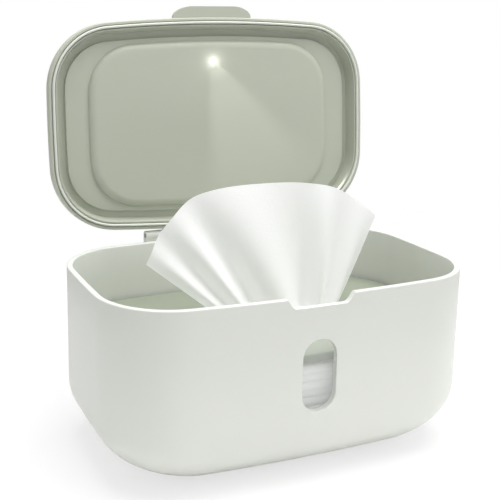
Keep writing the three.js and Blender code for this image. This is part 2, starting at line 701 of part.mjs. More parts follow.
function lidLiner() {
  const foot = SLOPE_START + SLOPE_RUN;
  const ledgeStart = foot + GROOVE_WIDTH;
  const backLedge = LEDGE_DEPTH + LINER_WALL;
  const backPanel = PANEL_FACE + LINER_WALL;
  const flangeLow = GASKET_TOP + FIT_GAP;
  const flangeHigh = flangeLow + LINER_WALL;
  const liner = loft([
    ...panelEdgeRings(),
    linerRing(ledgeStart, LEDGE_DEPTH),
    linerRing(ledgeStart, LEDGE_DEPTH + GROOVE_DEPTH),
    linerRing(foot, LEDGE_DEPTH + GROOVE_DEPTH),
    linerRing(SLOPE_START + LIP_WIDTH, 0),
    linerRing(SLOPE_START, LIP_WIDTH / 2),
    linerRing(SLOPE_START, flangeLow),
    linerRing(FLANGE_START, flangeLow),
    linerRing(FLANGE_START, flangeHigh),
    linerRing(SLOPE_START + LINER_WALL, flangeHigh),
    linerRing(foot, backLedge + GROOVE_DEPTH),
    linerRing(ledgeStart + LINER_WALL, backLedge + GROOVE_DEPTH),
    linerRing(ledgeStart + LINER_WALL, backLedge),
    panelRing(LINER_WALL, backLedge),
    panelRing(PANEL_EDGE + LINER_WALL, backPanel),
  ]);
  const bossFoot = PANEL_BACK - LINER_WALL / 2;
  const bosses = screwPlaces().map(([x, y]) =>
    disc(BOSS_RADIUS, BOARD_BOTTOM - FIT_GAP - bossFoot, x, y, bossFoot),
  );
  const screwHoles = screwPlaces().map(([x, y]) =>
    disc(SCREW_RADIUS + FIT_GAP, LID_HEIGHT, x, y, PANEL_BACK),
  );
  const lensHole = disc(LENS_RADIUS + FIT_GAP, LID_HEIGHT, 0, LENS_Y, LID_EDGE - CUT_OVER);
  return cut(join(liner, ...bosses), lensHole, ...screwHoles);
}

function lidGasket() {
  const low = -GASKET_PROUD;
  const soft = GASKET_WIDTH / 3;
  const far = FLANGE_START + GASKET_WIDTH;
  return loftLoop([
    linerRing(FLANGE_START + soft, low),
    linerRing(FLANGE_START, low + soft),
    linerRing(FLANGE_START, GASKET_TOP),
    linerRing(far, GASKET_TOP),
    linerRing(far, low + soft),
    linerRing(far - soft, low),
  ]);
}

// Lamp and battery

function screwPlaces() {
  return [-1, 1].map((side) => [side * SCREW_FROM_MIDDLE, BOARD_FRONT + SCREW_FROM_BOARD_END]);
}

function lampLens() {
  const face = LID_EDGE + PANEL_FACE - LENS_PROUD;
  const shoulder = PANEL_BACK + FIT_GAP - face;
  const top = shoulder + LENS_FLANGE_THICKNESS;
  const profile = [];
  for (let i = 0; i <= 3; i++) {
    const a = (i / 3) * (Math.PI / 2);
    profile.push([LENS_RADIUS * Math.sin(a), LENS_PROUD * (1 - Math.cos(a))]);
  }
  profile.push([LENS_RADIUS, shoulder], [LENS_FLANGE_RADIUS, shoulder]);
  profile.push([LENS_FLANGE_RADIUS, top], [0, top]);
  return turned(profile, 0, LENS_Y, face);
}

function lampBoard() {
  const board = box(
    BOARD_WIDTH,
    BOARD_LENGTH,
    BOARD_THICKNESS,
    0,
    BOARD_FRONT + BOARD_LENGTH / 2,
    BOARD_BOTTOM,
  );
  const holes = screwPlaces().map(([x, y]) =>
    disc(SCREW_RADIUS + FIT_GAP, BOARD_THICKNESS + 2 * CUT_OVER, x, y, BOARD_BOTTOM - CUT_OVER),
  );
  return cut(board, ...holes);
}

function lampLed() {
  return box(LED_SIZE, LED_SIZE, LED_HEIGHT, 0, LENS_Y, BOARD_BOTTOM - FIT_GAP - LED_HEIGHT);
}

function tiltSwitch() {
  const y = BOARD_FRONT + SCREW_FROM_BOARD_END + SWITCH_LENGTH;
  return box(SWITCH_WIDTH, SWITCH_LENGTH, SWITCH_HEIGHT, 0, y, BOARD_TOP + FIT_GAP);
}

function boardScrew(place) {
  const [x, y] = screwPlaces()[place];
  const length = BOARD_TOP - PANEL_BACK;
  return turned(
    [
      [0, -length],
      [SCREW_RADIUS, -length],
      [SCREW_RADIUS, FIT_GAP],
      [SCREW_HEAD_RADIUS, FIT_GAP],
      [SCREW_HEAD_RADIUS, FIT_GAP + SCREW_HEAD_HEIGHT / 2],
      [SCREW_HEAD_RADIUS / 2, FIT_GAP + SCREW_HEAD_HEIGHT],
      [0, FIT_GAP + SCREW_HEAD_HEIGHT],
    ],
    x,
    y,
    BOARD_TOP,
  );
}

function batteryHolder() {
  const inner = CELL_RADIUS + FIT_GAP;
  const outer = inner + HOLDER_WALL;
  const wallTop = HOLDER_FLOOR + FIT_GAP + 0.8 * CELL_THICKNESS;
  const eye = CONTACT_RADIUS + FIT_GAP;
  return turned(
    [
      [eye, 0],
      [outer, 0],
      [outer, wallTop],
      [inner, wallTop],
      [inner, HOLDER_FLOOR],
      [eye, HOLDER_FLOOR],
      [eye, 0],
    ],
    0,
    BATTERY_Y,
    HOLDER_BOTTOM,
  );
}

function batteryContact() {
  return turned(
    [
      [0, 0],
      [CONTACT_RADIUS, 0],
      [CONTACT_RADIUS, HOLDER_FLOOR / 3],
      [CONTACT_RADIUS / 3, HOLDER_FLOOR],
      [0, HOLDER_FLOOR],
    ],
    0,
    BATTERY_Y,
    HOLDER_BOTTOM,
  );
}

function coinCell() {
  return turned(
    [
      [0, 0],
      [CELL_RADIUS - 2 * CELL_EDGE, 0],
      [CELL_RADIUS, CELL_EDGE],
      [CELL_RADIUS, CELL_THICKNESS - CELL_EDGE],
      [CELL_RADIUS - CELL_EDGE, CELL_THICKNESS],
      [0, CELL_THICKNESS],
    ],
    0,
    BATTERY_Y,
    CELL_BOTTOM,
  );
}

function batteryDoor() {
  const faceLow = -DOOR_FACE_THICKNESS;
  const door = turned(
    [
      [0, faceLow - DOOR_PLUG_HEIGHT],
      [DOOR_PLUG_RADIUS, faceLow - DOOR_PLUG_HEIGHT],
      [DOOR_PLUG_RADIUS, faceLow],
      [DOOR_RADIUS, faceLow],
      [DOOR_RADIUS, 0],
      [0, 0],
    ],
    0,
    BATTERY_Y,
    LID_TOP,
  );
  const slot = box(COIN_SLOT_LENGTH, COIN_SLOT_WIDTH, LID_HEIGHT, 0, BATTERY_Y, LID_TOP - COIN_SLOT_DEPTH);
  return cut(door, slot);
}

// Assembly

function tubGroup() {
  const group = new THREE.Group();
  group.add(
    named("tub_shell", tubShell(), "shell"),
    named("window_pane", windowPane(), "pane"),
    named("base_pad", basePad(), "rubber"),
    named("hinge_pin", hingePin(), "steel"),
    named("wipes_stack", wipesStack(), "wipe"),
    named("weight_plate", weightPlate(), "plate"),
    named("plate_weight_left", plateWeight(-1), "steel"),
    named("plate_weight_right", plateWeight(1), "steel"),
    named("pulled_wipe", pulledWipe(), "wipe"),
  );
  return group;
}

// Lid pieces are drawn in the closed position, then turned open about the hinge axis.
function lidGroup() {
  const group = new THREE.Group();
  const pieces = [
    named("lid_shell", lidShell(), "lid"),
    named("lid_liner", lidLiner(), "lid"),
    named("lid_gasket", lidGasket(), "rubber"),
    named("lamp_lens", lampLens(), "lens"),
    named("lamp_led", lampLed(), "led"),
    named("lamp_board", lampBoard(), "board"),
    named("tilt_switch", tiltSwitch(), "steel"),
    named("battery_holder", batteryHolder(), "black"),
    named("battery_contact", batteryContact(), "steel"),
    named("coin_cell", coinCell(), "steel"),
    named("battery_door", batteryDoor(), "lid"),
    named("board_screw_left", boardScrew(0), "steel"),
    named("board_screw_right", boardScrew(1), "steel"),
  ];
  for (const piece of pieces) {
    piece.geometry.translate(0, -HINGE_Y, -HINGE_Z);
    group.add(piece);
  }
  group.position.set(0, HINGE_Y, HINGE_Z);
  group.rotation.x = -THREE.MathUtils.degToRad(LID_OPEN_ANGLE);
  return group;
}

const dispenser = new THREE.Group();
dispenser.add(tubGroup(), lidGroup());

export default dispenser;
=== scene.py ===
# Looks for the wet wipes dispenser. Shapes are worked out in millimetres and scaled to metres where a
# mesh is made. X runs along the box, Y to the hinge, Z up.
import json
import math

import bmesh
import bpy
import numpy as np
from mathutils import Matrix, Vector

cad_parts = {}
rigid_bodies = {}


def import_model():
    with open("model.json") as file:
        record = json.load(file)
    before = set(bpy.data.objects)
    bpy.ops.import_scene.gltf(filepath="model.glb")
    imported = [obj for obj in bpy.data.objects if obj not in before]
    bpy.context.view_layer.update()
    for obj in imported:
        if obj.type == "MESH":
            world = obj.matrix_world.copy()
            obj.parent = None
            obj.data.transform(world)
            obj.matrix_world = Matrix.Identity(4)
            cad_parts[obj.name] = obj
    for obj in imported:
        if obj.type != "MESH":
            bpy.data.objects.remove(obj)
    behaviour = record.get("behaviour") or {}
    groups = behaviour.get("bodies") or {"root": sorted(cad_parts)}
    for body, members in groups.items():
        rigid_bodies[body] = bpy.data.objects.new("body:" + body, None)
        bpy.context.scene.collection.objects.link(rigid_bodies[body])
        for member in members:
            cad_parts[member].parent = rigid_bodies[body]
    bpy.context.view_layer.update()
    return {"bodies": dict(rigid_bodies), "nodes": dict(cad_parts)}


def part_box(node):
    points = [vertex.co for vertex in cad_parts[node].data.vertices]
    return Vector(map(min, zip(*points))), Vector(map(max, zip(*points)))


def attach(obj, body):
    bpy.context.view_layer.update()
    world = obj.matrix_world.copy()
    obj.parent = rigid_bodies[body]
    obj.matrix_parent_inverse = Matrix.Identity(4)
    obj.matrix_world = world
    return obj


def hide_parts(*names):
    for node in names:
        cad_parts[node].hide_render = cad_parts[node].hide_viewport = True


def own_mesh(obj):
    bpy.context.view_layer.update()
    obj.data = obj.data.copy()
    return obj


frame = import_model()
MM = 0.001
SMOOTH_ANGLE = 35.0
CUT_PAST = 2.0  # how far a cutting shape reaches past what it cuts

# Box
HALF_LENGTH = 95.0
HALF_DEPTH = 59.2
TUB_HEIGHT = 90.8
TUB_WALL = 3.0
END_RADIUS = 870.0
SIDE_RADIUS = 765.0
CORNER_RADIUS = 36.0
LEAST_CORNER = 8.0
CORNER_SHARE = 0.5
BASE_ROUND_HEIGHT = 32.5
BASE_ROUND_END = 53.0
BASE_ROUND_SIDE = 34.5
BASE_ROUND_POWER = 2.15
RIM_ROUND = 0.7
EDGE_ROUND = 0.4
PAD_HALF_LENGTH = 32.0
PAD_HALF_DEPTH = 22.0
PAD_CORNER = 14.0
PAD_THICKNESS = 2.0
PAD_PROUD = 0.8
FIT_GAP = 0.3

# Notch and window
NOTCH_TOP_WIDTH = 34.5
NOTCH_FLOOR_WIDTH = 28.0
NOTCH_DEPTH = 4.8
NOTCH_CORNER = 1.8
WINDOW_WIDTH = 17.5
WINDOW_HEIGHT = 34.8
WINDOW_CENTRE = 53.3
PANE_SET_BACK = 0.5
PANE_FLANGE = 2.5
PANE_FLANGE_THICKNESS = 1.2
PANE_EDGE_ROUND = 0.35
PANE_HAZE = 0.14  # share of diffuse white at each face

# Hinge
BARREL_RADIUS = 2.6
BARREL_HALF_LENGTH = 42.0
KNUCKLE_LENGTH = 10.0
KNUCKLE_EDGE_ROUND = 0.25
POST_SET_IN = 0.5  # from the wall's inner face
PIN_RADIUS = 1.2
HINGE_Y = HALF_DEPTH + 0.5
HINGE_Z = TUB_HEIGHT + FIT_GAP + BARREL_RADIUS
LID_OPEN_ANGLE = 94.7

# Lid; heights are counted from its edge up into the dome, runs from its edge inwards
LID_INSET = 2.2
LID_CORNER_RADIUS = 35.0
LID_EDGE = TUB_HEIGHT + FIT_GAP
SKIRT_HEIGHT = 4.5
SKIRT_WALL = 1.7
SKIRT_FOOT_ROUND = 0.3
LID_HEIGHT = 15.0
LID_WALL = 2.2
LID_EDGE_ROUND = 0.3
DOME_ROUND_END = 46.0
DOME_ROUND_SIDE = 30.0
DOME_POWER = 2.0
TAB_WIDTH = 45.5
TAB_REACH = 6.0
TAB_THICKNESS = 3.0
TAB_LIFT = 0.9
TAB_SHOULDER = 11.0
GASKET_WIDTH = 1.3
GASKET_PROUD = 1.0
GASKET_TOP = 2.2
LINER_WALL = 1.5
LEDGE_DEPTH = 4.4
SLOPE_RUN = 2.6
SLOPE_CURVE = 0.8
LEDGE_RUN_END = 16.0
LEDGE_RUN_SIDE = 6.2
PANEL_RISE = 3.0
PANEL_EDGE = 4.4
PANEL_CORNER_RADIUS = 26.0
LIP_WIDTH = 0.8
LIP_ROUND = 0.2
LEDGE_ROUND = 0.4
GROOVE_WIDTH = 3.6  # wider and deeper than in the CAD, where the dome leaves no room for it
GROOVE_DEPTH = 2.4
GROOVE_DRAFT = 0.1
GROOVE_WALL = 0.8
FLANGE_START = SKIRT_WALL + FIT_GAP
SLOPE_START = FLANGE_START + GASKET_WIDTH + FIT_GAP
LAMP_FROM_EDGE = 23.5
LENS_RADIUS = 1.7
LENS_Y = LID_INSET + LAMP_FROM_EDGE - HALF_DEPTH
PANEL_FACE = LEDGE_DEPTH - PANEL_RISE
DOOR_RADIUS = 13.0
DOOR_CUT_START = 6.0
LAMP_AWAY = 3.0  # how far in front of the panel the lamp's light starts
BEAM_STRENGTH = 9.0
BEAM_ANGLE = 76.0
BEAM_BLEND = 0.5
BEAM_SIZE = 0.0005
BEAM_AIM = (0.016, 0.038, 0.02)  # with the lid closed: right, back to the hinge, up to the panel
BEAM_DECAY = 0.85
BEAM_LEAST_SLOPE = 0.02  # rays nearer to level than this are left out
HALO_WATTS = 0.0009
HALO_SIZE = 0.001

# Wipes and plate
STACK_HALF_LENGTH = 81.0
STACK_HALF_DEPTH = 52.0
STACK_CORNER = 8.0
STACK_BULGE_RADIUS = 9000.0
STACK_PLAY = 0.6
STACK_FLOOR = PAD_PROUD + TUB_WALL + STACK_PLAY
STACK_BELOW_PLATE = 2.4  # room for the pulled wipe's flat tail
STACK_WAVES = [(0.35, 17.0, 1.0), (0.25, 7.3, 2.1)]  # height, length, drift from fold to fold
STACK_TILT = 0.008
STACK_LEVEL_HEIGHT = 10.0  # the waves grow to their full height over this
STACK_SMOOTH_ANGLE = 60.0
STACK_STEPS = {"end": 8, "corner": 6, "side": 40}
SHEET_FOLDS = 12
SHEET_BULGE = 1.3
SHEET_SHIFT = 0.5
SHEET_DRAW_IN = 0.6
SHEET_DRIFT = 0.35
SHEET_SHARES = (0.04, 0.2, 0.5, 0.8, 0.96)
PLATE_BOTTOM = 58.0
PLATE_THICKNESS = 4.0
PLATE_TOP = PLATE_BOTTOM + PLATE_THICKNESS
PLATE_PLAY = 1.5
PLATE_ROUND = 1.2
PLATE_EDGE_ROUND = 0.8
SLOT_LENGTH = 94.0
SLOT_WIDTH = 16.0

# Pulled wipe
WIPE_FOOT_LEFT = -16.0
WIPE_FOOT_RIGHT = 43.0
WIPE_EDGE = [  # x and z along the upper edge
    (-60.5, 94.0), (-53.0, 109.5), (-40.0, 123.0), (-26.0, 128.5),
    (-5.0, 130.0), (25.0, 128.5), (46.0, 123.5), (68.5, 108.0),
]
WIPE_PLEATS = 5
WIPE_MIDDLE_WIDENING = 0.1
WIPE_PLEAT_DEPTH = 3.0
WIPE_FOOT_DEPTH = 9.0
WIPE_SIDE_CALM = 0.55
WIPE_EDGE_DEPTH = 2.0
WIPE_LEAN = 5.0
WIPE_COLUMNS = 220
WIPE_ROWS = 90
WIPE_SMOOTH_ANGLE = 180.0
TAIL_LENGTH = 126.0
TAIL_STEP = 6.0
TAIL_WIDTH = 140.0
TAIL_SPREAD_RUN = 30.0  # from the slot to where the tail has its full width
TAIL_FOLD_AT = 44.0
TAIL_UPPER_LEVEL = 57.3
TAIL_UPPER_DROP = 0.6
TAIL_LOWER_LEVEL = 56.5

# Smoothness
PLAN_STEPS = {"end": 6, "corner": 22, "side": 18}
ROUND_STEPS = 20


# Plan outlines and skins

def arc_points(centre, radius, start, end, steps):
    angles = np.linspace(start, end, steps, endpoint=False)
    return [(centre[0] + radius * math.cos(a), centre[1] + radius * math.sin(a)) for a in angles]


def plan_outline(half_x, half_y, end_radius, side_radius, corner_radius, steps=PLAN_STEPS):
    """Short and long arcs joined by corner arcs, anticlockwise from the middle of the right side."""
    end_centre = half_x - end_radius
    side_centre = half_y - side_radius
    to_side = side_radius - corner_radius
    to_end = end_radius - corner_radius
    span = math.hypot(end_centre, side_centre)
    along = (to_side ** 2 - to_end ** 2 + span ** 2) / (2 * span)
    off = math.sqrt(max(to_side ** 2 - along ** 2, 0))
    ux, uy = end_centre / span, -side_centre / span
    corner = (along * ux + off * uy, side_centre + along * uy - off * ux)
    end_angle = math.atan2(corner[1], corner[0] - end_centre)
    side_angle = math.atan2(corner[1] - side_centre, corner[0])
    quarter = arc_points((end_centre, 0), end_radius, 0, end_angle, steps["end"])
    quarter += arc_points(corner, corner_radius, end_angle, side_angle, steps["corner"])
    quarter += arc_points((0, side_centre), side_radius, side_angle, math.pi / 2, steps["side"])
    quarter.append((0.0, half_y))
    back = quarter[:-1][::-1]
    left = [(-x, y) for x, y in back]
    front_left = [(-x, -y) for x, y in quarter[1:]]
    front_right = [(x, -y) for x, y in back[:-1]]
    return np.array(quarter + left + front_left + front_right)


def body_ring(inset_x, inset_y, offset, z, corner_radius=CORNER_RADIUS):
    corner = corner_radius - CORNER_SHARE * max(inset_x, inset_y) - offset
    outline = plan_outline(
        HALF_LENGTH - inset_x - offset,
        HALF_DEPTH - inset_y - offset,
        END_RADIUS - offset,
        SIDE_RADIUS - offset,
        max(corner, LEAST_CORNER),
    )
    return np.column_stack([outline, np.full(len(outline), z)])


def lid_ring(inset_x, inset_y, offset, height):
    return body_ring(inset_x, inset_y, LID_INSET + offset, LID_EDGE + height, LID_CORNER_RADIUS + LID_INSET)


def round_share(step, power):
    angle = math.pi / 2 * (1 - step / ROUND_STEPS)
    return 1 - max(math.cos(angle), 0) ** (2 / power), math.sin(angle) ** (2 / power)


def bands(count, first, second):
    return [
        (first + j, first + (j + 1) % count, second + (j + 1) % count, second + j)
        for j in range(count)
    ]


def loft(rings, closed_loop=False):
    """Points and faces of a skin through rings of equal length, capped unless it is a closed loop."""
    count = len(rings[0])
    points = np.vstack(rings)
    faces = []
    for i in range(len(rings) - 1):
        faces += bands(count, i * count, (i + 1) * count)
    last = (len(rings) - 1) * count
    if closed_loop:
        faces += bands(count, last, 0)
        return points, faces
    points = np.vstack([points, rings[0].mean(axis=0), rings[-1].mean(axis=0)])
    low, high = len(points) - 2, len(points) - 1
    for j in range(count):
        following = (j + 1) % count
        faces.append((low, following, j))
        faces.append((high, last + j, last + following))
    return points, faces


def grid(rows):
    """Points and faces of an open surface through rows of equal length."""
    count = len(rows[0])
    points = np.vstack(rows)
    faces = [
        (i * count + j, i * count + j + 1, (i + 1) * count + j + 1, (i + 1) * count + j)
        for i in range(len(rows) - 1)
        for j in range(count - 1)
    ]
    return points, faces


def rounded_rectangle(half_x, half_y, radius, steps=12):
    radius = min(radius, half_x - 1e-3, half_y - 1e-3)
    points = []
    for turn, (sx, sy) in enumerate([(1, 1), (-1, 1), (-1, -1), (1, -1)]):
        centre = (sx * (half_x - radius), sy * (half_y - radius))
        angles = np.linspace(turn * math.pi / 2, (turn + 1) * math.pi / 2, steps + 1)
        points += [(centre[0] + radius * math.cos(a), centre[1] + radius * math.sin(a)) for a in angles]
    return np.array(points)


def circle(radius, steps=12):
    return rounded_rectangle(radius, radius, radius, steps)


def upright(outline, low, high, x=0.0, y=0.0):
    """An outline in X and Y, extruded along Z."""
    flat = np.asarray(outline) + (x, y)
    return loft([np.column_stack([flat, np.full(len(flat), z)]) for z in (low, high)])


def across_y(outline, near, far):
    """An outline in X and Z, extruded along Y."""
    flat = np.asarray(outline)
    return loft([np.column_stack([flat[:, 0], np.full(len(flat), y), flat[:, 1]]) for y in (near, far)])


def along_x(outline, from_x, to_x):
    """An outline in Y and Z, extruded along X."""
    flat = np.asarray(outline)
    return loft([np.column_stack([np.full(len(flat), x), flat]) for x in (from_x, to_x)])


# Objects

def mesh_object(name, shape, smooth_angle=SMOOTH_ANGLE):
    points, faces = shape
    mesh = bpy.data.meshes.new(name)
    mesh.from_pydata((np.asarray(points) * MM).tolist(), [], faces)
    tidy = bmesh.new()
    tidy.from_mesh(mesh)
    bmesh.ops.remove_doubles(tidy, verts=tidy.verts, dist=1e-7)
    bmesh.ops.recalc_face_normals(tidy, faces=tidy.faces)
    tidy.to_mesh(mesh)
    tidy.free()
    shade(mesh, smooth_angle)
    obj = bpy.data.objects.new(name, mesh)
    bpy.context.scene.collection.objects.link(obj)
    return obj


def shade(mesh, smooth_angle):
    mesh.shade_smooth()
    mesh.set_sharp_from_angle(angle=math.radians(smooth_angle))


def combine(obj, others, operation):
    """Cuts the others from obj, or joins them to it, and removes them."""
    for other in others:
        modifier = obj.modifiers.new(operation, "BOOLEAN")
        modifier.operation = operation
        modifier.solver = "EXACT"
        modifier.object = other
    settle(obj)
    for other in others:
        bpy.data.objects.remove(other)
    return obj


def settle(obj, smooth_angle=SMOOTH_ANGLE):
    """Makes obj's modifiers part of its mesh."""
    bpy.context.view_layer.update()
    evaluated = obj.evaluated_get(bpy.context.evaluated_depsgraph_get())
    mesh = bpy.data.meshes.new_from_object(evaluated)
    obj.modifiers.clear()
    obj.data = mesh
    shade(mesh, smooth_angle)


def round_edges(obj, width, segments=3, angle=40.0):
    bevel = obj.modifiers.new("edges", "BEVEL")
    bevel.width = width * MM
    bevel.segments = segments
    bevel.limit_method = "ANGLE"
    bevel.angle_limit = math.radians(angle)
    bevel.harden_normals = True
    return obj


def about_hinge(degrees):
    hinge = Matrix.Translation((0, HINGE_Y * MM, HINGE_Z * MM))
    return hinge @ Matrix.Rotation(math.radians(degrees), 4, "X") @ hinge.inverted()


def open_lid(obj):
    """Turns a piece drawn on the closed lid to the lid's resting place."""
    obj.data.transform(about_hinge(-LID_OPEN_ANGLE))
    return obj


def dress(obj, body, material, replaced=()):
    obj.data.materials.clear()
    obj.data.materials.append(material)
    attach(obj, body)
    if replaced:
        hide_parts(*replaced)
    return obj


# Materials

def node_material(name):
    material = bpy.data.materials.new(name)
    material.use_nodes = True
    nodes, links = material.node_tree.nodes, material.node_tree.links
    return material, nodes, links, nodes["Principled BSDF"]


def feed(links, value, place):
    """Gives an input a plain number, or else another node's output."""
    if isinstance(value, (int, float)):
        place.default_value = value
    else:
        links.new(value, place)


def maths(nodes, links, operation, first, second):
    node = nodes.new("ShaderNodeMath")
    node.operation = operation
    feed(links, first, node.inputs[0])
    feed(links, second, node.inputs[1])
    return node.outputs["Value"]


def mixed_shaders(nodes, links, share, first, second):
    """The first shader with a share of the second."""
    mix = nodes.new("ShaderNodeMixShader")
    feed(links, share, mix.inputs["Fac"])
    links.new(first, mix.inputs[1])
    links.new(second, mix.inputs[2])
    return mix.outputs[0]


def texture_place(nodes, links, stretch=(1, 1, 1)):
    coordinates = nodes.new("ShaderNodeTexCoord")
    mapping = nodes.new("ShaderNodeMapping")
    mapping.inputs["Scale"].default_value = stretch
    links.new(coordinates.outputs["Object"], mapping.inputs["Vector"])
    return mapping.outputs["Vector"]


def noise(nodes, links, place, scale, detail=3.0, roughness=0.5):
    texture = nodes.new("ShaderNodeTexNoise")
    texture.inputs["Scale"].default_value = scale
    texture.inputs["Detail"].default_value = detail
    texture.inputs["Roughness"].default_value = roughness
    links.new(place, texture.inputs["Vector"])
    return texture.outputs["Fac"]


def spread(nodes, links, value, low, high):
    """Maps a noise value onto low to high."""
    ranged = nodes.new("ShaderNodeMapRange")
    ranged.inputs["From Min"].default_value = 0.3
    ranged.inputs["From Max"].default_value = 0.7
    ranged.inputs["To Min"].default_value = low
    ranged.inputs["To Max"].default_value = high
    links.new(value, ranged.inputs["Value"])
    return ranged.outputs["Result"]


def bump(nodes, links, value, strength, distance):
    node = nodes.new("ShaderNodeBump")
    node.inputs["Strength"].default_value = strength
    node.inputs["Distance"].default_value = distance
    links.new(value, node.inputs["Height"])
    return node.outputs["Normal"]


def tinted(nodes, links, colour, value, amount):
    """The colour, made a little lighter and darker by the value."""
    mix = nodes.new("ShaderNodeMix")
    mix.data_type = "RGBA"
    mix.inputs["A"].default_value = (*[c * (1 - amount) for c in colour], 1)
    mix.inputs["B"].default_value = (*[min(c * (1 + amount), 1) for c in colour], 1)
    links.new(value, mix.inputs["Factor"])
    return mix.outputs["Result"]


def moulded_plastic(name, colour, roughness=0.42, grain=0.05, glow=0.08):
    material, nodes, links, shader = node_material(name)
    place = texture_place(nodes, links)
    cloudy = noise(nodes, links, place, scale=18.0)
    fine = noise(nodes, links, place, scale=2600.0, detail=2.0)
    uneven = spread(nodes, links, cloudy, low=roughness - 0.03, high=roughness + 0.03)
    links.new(tinted(nodes, links, colour, cloudy, amount=0.015), shader.inputs["Base Color"])
    links.new(uneven, shader.inputs["Roughness"])
    links.new(bump(nodes, links, fine, grain, distance=0.0001), shader.inputs["Normal"])
    shader.inputs["Subsurface Weight"].default_value = glow
    shader.inputs["Subsurface Radius"].default_value = (0.003, 0.0028, 0.002)
    shader.inputs["IOR"].default_value = 1.46
    return material


def soft_rubber(name, colour):
    material, nodes, links, shader = node_material(name)
    place = texture_place(nodes, links)
    fine = noise(nodes, links, place, scale=1500.0)
    links.new(tinted(nodes, links, colour, fine, amount=0.03), shader.inputs["Base Color"])
    links.new(bump(nodes, links, fine, strength=0.08, distance=0.0001), shader.inputs["Normal"])
    shader.inputs["Roughness"].default_value = 0.55
    return material


def brushed_metal(name, colour, roughness=0.3):
    material, nodes, links, shader = node_material(name)
    place = texture_place(nodes, links, stretch=(1, 30, 30))
    streaks = noise(nodes, links, place, scale=120.0)
    uneven = spread(nodes, links, streaks, low=roughness - 0.06, high=roughness + 0.08)
    links.new(tinted(nodes, links, colour, streaks, amount=0.05), shader.inputs["Base Color"])
    links.new(uneven, shader.inputs["Roughness"])
    shader.inputs["Metallic"].default_value = 1.0
    return material


def clear_plastic(name):
    """Clear sheet: light goes straight through, only the near face reflects, and a haze whitens it."""
    material, nodes, links, shader = node_material(name)
    nodes.remove(shader)
    haze = noise(nodes, links, texture_place(nodes, links), scale=60.0)
    gloss = nodes.new("ShaderNodeBsdfAnisotropic")
    links.new(spread(nodes, links, haze, low=0.05, high=0.12), gloss.inputs["Roughness"])
    clear = nodes.new("ShaderNodeBsdfTransparent")
    clear.inputs["Color"].default_value = (0.985, 0.99, 0.985, 1)
    fresnel = nodes.new("ShaderNodeFresnel")
    fresnel.inputs["IOR"].default_value = 1.45
    side = nodes.new("ShaderNodeNewGeometry")
    near = maths(nodes, links, "SUBTRACT", 1.0, side.outputs["Backfacing"])
    reflected = maths(nodes, links, "MULTIPLY", fresnel.outputs["Fac"], near)
    sheet = mixed_shaders(nodes, links, reflected, clear.outputs["BSDF"], gloss.outputs["BSDF"])
    white = nodes.new("ShaderNodeBsdfDiffuse")
    white.inputs["Color"].default_value = (0.85, 0.86, 0.84, 1)
    hazy = mixed_shaders(nodes, links, PANE_HAZE, sheet, white.outputs["BSDF"])
    links.new(hazy, nodes["Material Output"].inputs["Surface"])
    return material


def non_woven(name, colour, passed_on, painted_glow):
    """White fibre cloth: light passed on through it, and a painted glow, white emission that brightens it
    though it is no lamp.
    """
    material, nodes, links, shader = node_material(name)
    lengthwise = texture_place(nodes, links, stretch=(60, 420, 420))
    fine = texture_place(nodes, links, stretch=(700, 700, 900))
    fibres = noise(nodes, links, lengthwise, scale=6.0, detail=5.0, roughness=0.65)
    across = noise(nodes, links, fine, scale=1.0, detail=4.0)
    both = maths(nodes, links, "ADD", fibres, across)
    links.new(tinted(nodes, links, colour, fibres, amount=0.03), shader.inputs["Base Color"])
    links.new(bump(nodes, links, both, strength=0.35, distance=0.0003), shader.inputs["Normal"])
    shader.inputs["Roughness"].default_value = 0.9
    shader.inputs["Sheen Weight"].default_value = 0.15
    # Painted glow: the cloth gives off white light of its own, which brightens it beyond what the lamps
    # give.
    shader.inputs["Emission Color"].default_value = (1, 1, 1, 1)
    shader.inputs["Emission Strength"].default_value = painted_glow
    through = nodes.new("ShaderNodeBsdfTranslucent")
    through.inputs["Color"].default_value = (0.86, 0.87, 0.86, 1)
    cloth = mixed_shaders(nodes, links, passed_on, shader.outputs["BSDF"], through.outputs["BSDF"])
    links.new(cloth, nodes["Material Output"].inputs["Surface"])
    return material


def lit_lens(name):
    material, nodes, links, shader = node_material(name)
    place = texture_place(nodes, links)
    speckle = noise(nodes, links, place, scale=900.0)
    strength = spread(nodes, links, speckle, low=2.6, high=3.0)
    shader.inputs["Base Color"].default_value = (0.95, 0.95, 0.93, 1)
    shader.inputs["Roughness"].default_value = 0.15
    shader.inputs["Emission Color"].default_value = (1, 1, 0.98, 1)
    links.new(strength, shader.inputs["Emission Strength"])
    return material


def circuit_board(name):
    material, nodes, links, shader = node_material(name)
    place = texture_place(nodes, links)
    weave = noise(nodes, links, place, scale=500.0)
    green = tinted(nodes, links, (0.03, 0.14, 0.07), weave, amount=0.2)
    links.new(green, shader.inputs["Base Color"])
    shader.inputs["Roughness"].default_value = 0.35
    return material


SHELL = moulded_plastic("shell plastic", (0.70, 0.715, 0.67))
LID = moulded_plastic("lid plastic", (0.50, 0.525, 0.44))
PLATE = moulded_plastic("plate plastic", (0.295, 0.325, 0.255), roughness=0.5)
BLACK = moulded_plastic("holder plastic", (0.02, 0.02, 0.02), roughness=0.45, glow=0.0)
GASKET = soft_rubber("gasket", (0.72, 0.74, 0.68))
PAD = soft_rubber("pad", (0.42, 0.44, 0.4))
STEEL = brushed_metal("steel", (0.6, 0.61, 0.62))
PANE = clear_plastic("pane")
# Both wipe materials carry a painted glow that brightens the pulled wipe and the stack.
WIPE = non_woven("wipe", (0.93, 0.93, 0.93), passed_on=0.14, painted_glow=0.15)
STACKED_WIPE = non_woven("stacked wipe", (0.93, 0.93, 0.93), passed_on=0.0, painted_glow=0.1)
LENS = lit_lens("lens")
LED = moulded_plastic("led", (0.9, 0.85, 0.55), roughness=0.4)
BOARD = circuit_board("board")


# Tub

